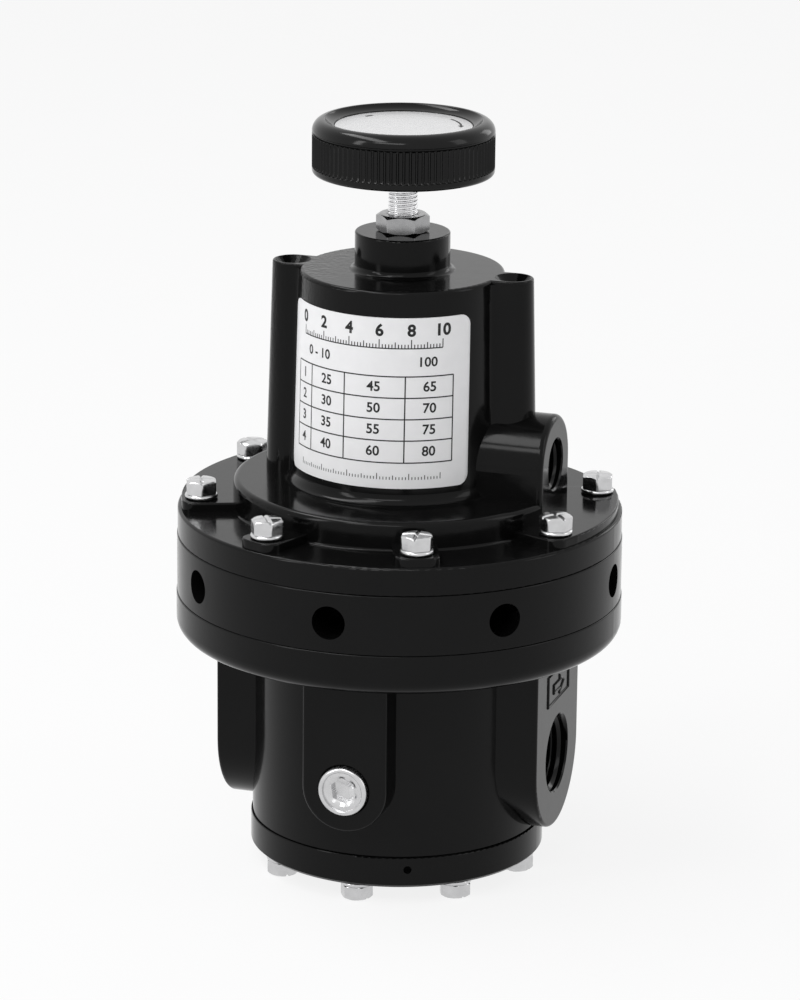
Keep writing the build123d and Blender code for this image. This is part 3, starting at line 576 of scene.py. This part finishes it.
# Gauge port plugs with a hexagon socket
PLUG_SOCKET = 6.35 * MM
PLUG_ROUND = 1.0 * MM
PLUG_RING_INSET = 0.35 * MM
PLUG_SINK = 0.6 * MM
PLUG_STEP = 0.8 * MM
PLUG_DEEP = 4.6 * MM
PLUG_TURN = radians(8)


def build_plug(name, node_name, direction):
    """Pipe plug that faces -Y or +Y: rounded rim, shallow sink, step and a deep hexagon socket."""
    low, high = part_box(node_name)
    face = high.y if direction > 0 else -low.y
    back = low.y if direction > 0 else -high.y
    outer = (high.z - low.z) / 2
    sink = PLUG_SOCKET / 2 / cos(pi / 6) + PLUG_SINK
    ring = outer - PLUG_ROUND - PLUG_RING_INSET

    def profile(angle):
        r = hexagon_r(PLUG_SOCKET, angle, 0.06 * MM)
        rows = [(outer - 1.2 * MM, back), (outer - 0.5 * MM, back + 0.8 * MM), (outer, back + 1.5 * MM)]
        rows += arc_points((outer - PLUG_ROUND, face - PLUG_ROUND), PLUG_ROUND, 0, 90, 9)
        rows += [(ring + 0.15 * MM, face), (ring, face - 0.15 * MM), (ring - 0.1 * MM, face - PLUG_STEP)]
        rows += [(sink, face - PLUG_STEP), (r, face - PLUG_STEP - 0.6 * MM), (r, face - PLUG_DEEP)]
        rows += [(r * 0.6, face - PLUG_DEEP - 0.3 * MM), (0, face - PLUG_DEEP - 0.8 * MM)]
        return rows

    aim = Matrix.Rotation(-direction * pi / 2, 4, "X") @ Matrix.Rotation(PLUG_TURN, 4, "Z")
    place = Matrix.Translation((0, 0, (low.z + high.z) / 2)) @ aim
    points, faces = turned(profile, 120, place)
    piece = link_mesh(name, points, faces, plug_metal, "housing", 30)
    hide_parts(node_name)


build_plug("front_plug_piece", "front_gauge_plug", -1)
build_plug("back_plug_piece", "back_gauge_plug", 1)

# Ports: height, face and bore, as in the CAD model, and the pitch, length and depth of their threads
PORT_Z = 35.0 * MM
PORT_FACE = 45.7 * MM
PORT_R = 10.67 * MM
SIGNAL_Z = 116.8 * MM
SIGNAL_FACE = 43.7 * MM
SIGNAL_R = 6.86 * MM
THREAD_START = 0.9 * MM
HALF_INCH_PIPE = (INCH / 14, 15 * MM, 1.1 * MM)
QUARTER_INCH_PIPE = (INCH / 18, 12 * MM, 0.85 * MM)


def port_thread(name, direction, height, face, radius, pitch, length, depth):
    """Helical ridge inside a port on the X axis."""
    per_turn = 72
    count = int(length / pitch * per_turn)
    section = ((0.0, -0.46), (-0.85, -0.08), (-0.95, 0.0), (-0.85, 0.08), (0.0, 0.46))
    points = []
    for step in range(count + 1):
        angle = 2 * pi * step / per_turn
        ease = min(1.0, min(step, count - step) / (per_turn * 0.35))
        along = face - THREAD_START - pitch * step / per_turn
        for inward, across in section:
            r = radius - 0.02 * MM + inward * depth * ease
            x = direction * (along + across * pitch)
            points.append(Vector((x, r * cos(angle), height + r * sin(angle))))
    faces = grid_faces(count + 1, len(section), wrap=False)
    link_mesh(name, points, faces, paint, "housing", 60)


port_thread("outlet_thread", 1, PORT_Z, PORT_FACE, PORT_R, *HALF_INCH_PIPE)
port_thread("inlet_thread", -1, PORT_Z, PORT_FACE, PORT_R, *HALF_INCH_PIPE)
port_thread("signal_thread", 1, SIGNAL_Z, SIGNAL_FACE, SIGNAL_R, *QUARTER_INCH_PIPE)

# Name plate: a thin sheet round the drafted bonnet with plain ruling and numbers
BONNET_R = 27.4 * MM
BONNET_TOP = nut_low.z - 10.3 * MM
BONNET_SLOPE = tan(radians(1.6))
PLATE_HALF = 29.4 * MM
PLATE_CORNER = 3.0 * MM
PLATE_TURN = radians(-3)
PLATE_BACK = 0.1 * MM
PLATE_GAUGE = 0.4 * MM
PLATE_SOFT = 0.12 * MM
PRINT_LIFT = 0.03 * MM
plate_low, plate_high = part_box("nameplate")
plate_mid = (plate_low.z + plate_high.z) / 2
plate_half_tall = (plate_high.z - plate_low.z) / 2


def wrap(across, up, lift):
    """Point over the bonnet's wall: across runs along the arc, lift stands out from the wall."""
    height = plate_mid + up
    wall_r = BONNET_R + (BONNET_TOP - height) * BONNET_SLOPE
    turn = across / wall_r + PLATE_TURN
    r = wall_r + lift
    return Vector((r * sin(turn), -r * cos(turn), height))


def build_plate():
    """Sheet with rounded corners and a soft front edge, as one closed grid."""
    face = PLATE_BACK + PLATE_GAUGE
    corner = [plate_half_tall - PLATE_CORNER * (1 - sin(radians(9 * step))) for step in range(10)]
    straight = [(plate_half_tall - PLATE_CORNER) * step / 20 for step in range(20)]
    upper = [(up, face) for up in straight + corner]
    upper += [(plate_half_tall - PLATE_SOFT, face), (plate_half_tall, face - PLATE_SOFT)]
    upper.append((plate_half_tall, PLATE_BACK))
    levels = [(-up, lift) for up, lift in reversed(upper[1:])] + upper
    columns = [(-1.0, 0.0, PLATE_BACK), (-1.0, 0.0, face - PLATE_SOFT)]
    columns += [(step / 30 - 1, 1.0, face) for step in range(61)]
    columns += [(1.0, 0.0, face - PLATE_SOFT), (1.0, 0.0, PLATE_BACK)]
    points = []
    for up, level_lift in levels:
        inside = max(0.0, abs(up) - (plate_half_tall - PLATE_CORNER))
        half = PLATE_HALF - PLATE_CORNER + sqrt(max(0.0, PLATE_CORNER**2 - inside**2))
        for share, inset, lift in columns:
            points.append(wrap(share * (half - inset * PLATE_SOFT), up, min(lift, level_lift)))
    faces = grid_faces(len(levels), len(columns), wrap=False)
    piece = link_mesh("plate_sheet", points, faces, plate_white, "housing", 50)
    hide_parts("nameplate")


build_plate()


def strip(start, end, width):
    """Printed line on the plate, in its flat coordinates, as quads that follow its curve."""
    run, rise = end[0] - start[0], end[1] - start[1]
    length = hypot(run, rise)
    side = (-rise / length * width / 2, run / length * width / 2)
    pieces = max(1, ceil(length / (0.8 * MM)))
    points = []
    for step in range(pieces + 1):
        x = start[0] + run * step / pieces
        y = start[1] + rise * step / pieces
        for sign in (1, -1):
            place_x, place_y = x + sign * side[0], y + sign * side[1]
            points.append(wrap(place_x, place_y, PLATE_BACK + PLATE_GAUGE + PRINT_LIFT))
    return points, [(2 * i, 2 * i + 1, 2 * i + 3, 2 * i + 2) for i in range(pieces)]


def print_number(text, size, x, y, weight=0.02):
    """Plain number on the plate, its middle at x, y."""
    curve = bpy.data.curves.new("digits", "FONT")
    curve.body = text
    curve.size = size
    curve.offset = weight * size
    curve.align_x = "CENTER"
    curve.align_y = "CENTER"
    curve.resolution_u = 4
    holder = bpy.data.objects.new("digits", curve)
    scene.collection.objects.link(holder)
    bpy.context.view_layer.update()
    flat = bpy.data.meshes.new_from_object(holder)
    lift = PLATE_BACK + PLATE_GAUGE + PRINT_LIFT
    points = [wrap(vertex.co.x + x, vertex.co.y + y, lift) for vertex in flat.vertices]
    faces = [tuple(polygon.vertices) for polygon in flat.polygons]
    bpy.data.objects.remove(holder)
    bpy.data.meshes.remove(flat)
    return points, faces


# Places on the plate in millimetres from its middle, and the heights and widths of what is printed
TABLE_COLUMNS = (-24.2, -17.3, -5.4, 11.2, 24.2)
TABLE_ROWS = (7.4, 1.6, -4.2, -10.0, -16.0)
TABLE_LINE = 0.34
SCALE_END = 21.0
SCALE_Y = 15.0
SCALE_STEPS = 50
SCALE_LINE = 0.3
SCALE_TEXT = 4.4
SCALE_TEXT_Y = 19.7
TICKS = (2.4, 1.7, 1.1)
TICK_LINE = 0.26
FOOT_Y = -20.6
FOOT_SHARE = 0.7
FOOT_LINE = 0.22
TABLE_TEXT = 3.7
RANGE_TEXT = 3.6
RANGE_Y = 11.2
RANGE_LEFT = -14.5
RANGE_RIGHT = 17.0


def print_plate():
    """Scale with plain numbers, a ruled table of plain numbers and a row of ticks below."""
    lines = []
    left, right = TABLE_COLUMNS[0], TABLE_COLUMNS[-1]
    top, bottom = TABLE_ROWS[0], TABLE_ROWS[-1]
    for level in TABLE_ROWS:
        lines.append(((left, level), (right, level), TABLE_LINE))
    for across in TABLE_COLUMNS:
        lines.append(((across, top), (across, bottom), TABLE_LINE))
    for number in range(SCALE_STEPS + 1):
        x = SCALE_END * (2 * number / SCALE_STEPS - 1)
        tall = TICKS[0] if number % 10 == 0 else TICKS[1] if number % 5 == 0 else TICKS[2]
        lines.append(((x, SCALE_Y), (x, SCALE_Y + tall), TICK_LINE))
        lines.append(((x, FOOT_Y), (x, FOOT_Y + tall * FOOT_SHARE), FOOT_LINE))
    lines.append(((-SCALE_END, SCALE_Y), (SCALE_END, SCALE_Y), SCALE_LINE))
    parts = []
    for start, end, width in lines:
        parts.append(strip([v * MM for v in start], [v * MM for v in end], width * MM))
    for number in range(6):
        x = SCALE_END * (2 * number / 5 - 1)
        parts.append(print_number(str(number * 2), SCALE_TEXT * MM, x * MM, SCALE_TEXT_Y * MM, 0.035))
    for column in range(4):
        x = (TABLE_COLUMNS[column] + TABLE_COLUMNS[column + 1]) / 2
        for row in range(4):
            y = (TABLE_ROWS[row] + TABLE_ROWS[row + 1]) / 2
            text = str(20 * column + 5 * row + 5) if column else str(row + 1)
            parts.append(print_number(text, TABLE_TEXT * MM, x * MM, y * MM))
    for text, x in (("0 - 10", RANGE_LEFT), ("100", RANGE_RIGHT)):
        parts.append(print_number(text, RANGE_TEXT * MM, x * MM, RANGE_Y * MM))
    points, faces = join(parts)
    link_mesh("plate_print", points, faces, ink, "housing", 180)


print_plate()

# Print on the disc: a curved arrow that shows the way to turn, and a dash
ARROW_R = 15.2 * MM
ARROW_FIRST = 52
ARROW_LAST = 18
ARROW_HEAD = 1.5 * MM
ARROW_LINE = 0.6 * MM
DASH_FIRST = 150
DASH_LAST = 141
DASH_LINE = 0.9 * MM


def disc_arc(first, last, width, steps=28):
    """Curved line on the disc between two angles in degrees."""
    level = disc_high.z + PRINT_LIFT
    inner = arc_points((0, 0), ARROW_R - width / 2, first, last, steps)
    outer = arc_points((0, 0), ARROW_R + width / 2, first, last, steps)
    points = [Vector((*point, level)) for pair in zip(inner, outer) for point in pair]
    return points, [(2 * i, 2 * i + 1, 2 * i + 3, 2 * i + 2) for i in range(steps)]


def print_disc():
    """Arrow and dash as one piece."""
    tip = Vector((cos(radians(ARROW_LAST)), sin(radians(ARROW_LAST)), 0))
    along = Vector((tip.y, -tip.x, 0))
    base = tip * ARROW_R + Vector((0, 0, disc_high.z + PRINT_LIFT))
    corners = [base + tip * ARROW_HEAD * 0.6, base - tip * ARROW_HEAD * 0.6, base + along * ARROW_HEAD * 1.5]
    arc = disc_arc(ARROW_FIRST, ARROW_LAST, ARROW_LINE)
    dash = disc_arc(DASH_FIRST, DASH_LAST, DASH_LINE)
    points, faces = join([arc, (corners, [(0, 2, 1)]), dash])
    link_mesh("disc_print", points, faces, ink, "knob_and_screw", 180)


print_disc()

# Raised mark on the outlet pad: a plain frame with an arrow in it, in millimetres across and up
MARK_FRAME = ((-9.9, 51.0), (9.9, 51.0), (9.9, 59.5), (-9.9, 59.5))
MARK_ARROW = ((-4.4, 53.4), (1.2, 53.4), (1.2, 52.2), (5.0, 54.6), (1.2, 57.0), (1.2, 55.8), (-4.4, 55.8))
MARK_HALF = 0.32 * MM
MARK_LIFT = 0.4 * MM


def raised_cord(loop, face):
    """Closed rounded cord on the pad that follows a loop of corners."""
    section = ((-1, -0.1), (-0.6, 0.75), (0, 1), (0.6, 0.75), (1, -0.1))
    spots = [Vector(spot) * MM for spot in loop]
    points = []
    for index, here in enumerate(spots):
        first = (here - spots[index - 1]).normalized()
        second = (spots[(index + 1) % len(spots)] - here).normalized()
        normal = Vector((-first.y - second.y, first.x + second.x)).normalized()
        widen = 1 / max(0.4, normal.dot(Vector((-first.y, first.x))))
        for across, up in section:
            spot = here + normal * MARK_HALF * across * widen
            points.append(Vector((face + up * MARK_LIFT, spot.x, spot.y)))
    points += points[: len(section)]
    return points, grid_faces(len(spots) + 1, len(section), wrap=False)


points, faces = join([raised_cord(MARK_FRAME, PORT_FACE), raised_cord(MARK_ARROW, PORT_FACE)])
link_mesh("flow_mark", points, faces, paint, "housing", 50)


# Light
AIM = Vector((0, 0, 0.11))


def view_place(right, back, up):
    """Point given to the right of, behind and above the object as the camera sees it."""
    x = right * cos(CAMERA_AZIMUTH) - back * sin(CAMERA_AZIMUTH)
    y = right * sin(CAMERA_AZIMUTH) + back * cos(CAMERA_AZIMUTH)
    return Vector((x, y, up))


def add_softbox(name, place, width, height, radiance):
    """Area light of the given radiance, aimed at the middle of the object."""
    data = bpy.data.lights.new(name, "AREA")
    data.shape = "RECTANGLE"
    data.size = width
    data.size_y = height
    data.energy = radiance * pi * width * height
    lamp = bpy.data.objects.new(name, data)
    lamp.location = place
    lamp.rotation_euler = (AIM - place).to_track_quat("-Z", "Y").to_euler()
    lamp.visible_camera = False
    scene.collection.objects.link(lamp)


add_softbox("top_strip", view_place(-0.50, -0.05, 1.15), 1.3, 0.25, 7.0)
add_softbox("front_strip", view_place(-0.4, -1.1, 1.15), 0.9, 0.22, 6.0)
add_softbox("left_box", view_place(-1.2, -0.7, 0.75), 0.25, 0.9, 6.0)
add_softbox("right_box", view_place(1.3, -0.3, 0.7), 0.4, 0.9, 1.6)
add_softbox("back_box", view_place(0.95, 1.0, 0.55), 0.35, 0.6, 2.0)

# Backdrop and floor
WORLD_LEVEL = 0.5
FLOOR_SHOW = 0.85
FLOOR_HALF = 6.0


def seen_rays(tree):
    """Rays that see the background as white: the camera's, and those in gloss and glass."""
    path = tree.nodes.new("ShaderNodeLightPath")
    mirrored = math_node(tree, "MAXIMUM", path.outputs["Is Glossy Ray"], path.outputs["Is Transmission Ray"])
    return math_node(tree, "MAXIMUM", path.outputs["Is Camera Ray"], mirrored)


def build_world():
    """White studio for the camera and for reflections, with even, weaker light on what is matt."""
    world = bpy.data.worlds.new("studio")
    world.use_nodes = True
    scene.world = world
    tree = world.node_tree
    tree.nodes.clear()
    output = tree.nodes.new("ShaderNodeOutputWorld")
    shader = tree.nodes.new("ShaderNodeBackground")
    shader.inputs["Color"].default_value = (1, 1, 1, 1)
    strength = ramp(tree, seen_rays(tree), 0, 1, WORLD_LEVEL, 1)
    tree.links.new(strength, shader.inputs["Strength"])
    tree.links.new(shader.outputs[0], output.inputs["Surface"])


def build_floor():
    """Pale floor that shows white to the camera and in reflections, and keeps the shadow."""
    made, tree, output = new_material("floor_pale")
    plain = tree.nodes.new("ShaderNodeBsdfDiffuse")
    tree.links.new(mix_colours(tree, noise(tree, 20), grey(0.80), grey(0.83)), plain.inputs["Color"])
    glow = tree.nodes.new("ShaderNodeEmission")
    mixer = tree.nodes.new("ShaderNodeMixShader")
    tree.links.new(math_node(tree, "MULTIPLY", seen_rays(tree), FLOOR_SHOW), mixer.inputs[0])
    tree.links.new(plain.outputs[0], mixer.inputs[1])
    tree.links.new(glow.outputs[0], mixer.inputs[2])
    tree.links.new(mixer.outputs[0], output.inputs["Surface"])
    half = FLOOR_HALF
    data = bpy.data.meshes.new("floor")
    corners = [(-half, -half, 0), (half, -half, 0), (half, half, 0), (-half, half, 0)]
    data.from_pydata(corners, [], [(0, 1, 2, 3)])
    data.materials.append(made)
    floor = bpy.data.objects.new("floor", data)
    scene.collection.objects.link(floor)


build_world()
build_floor()
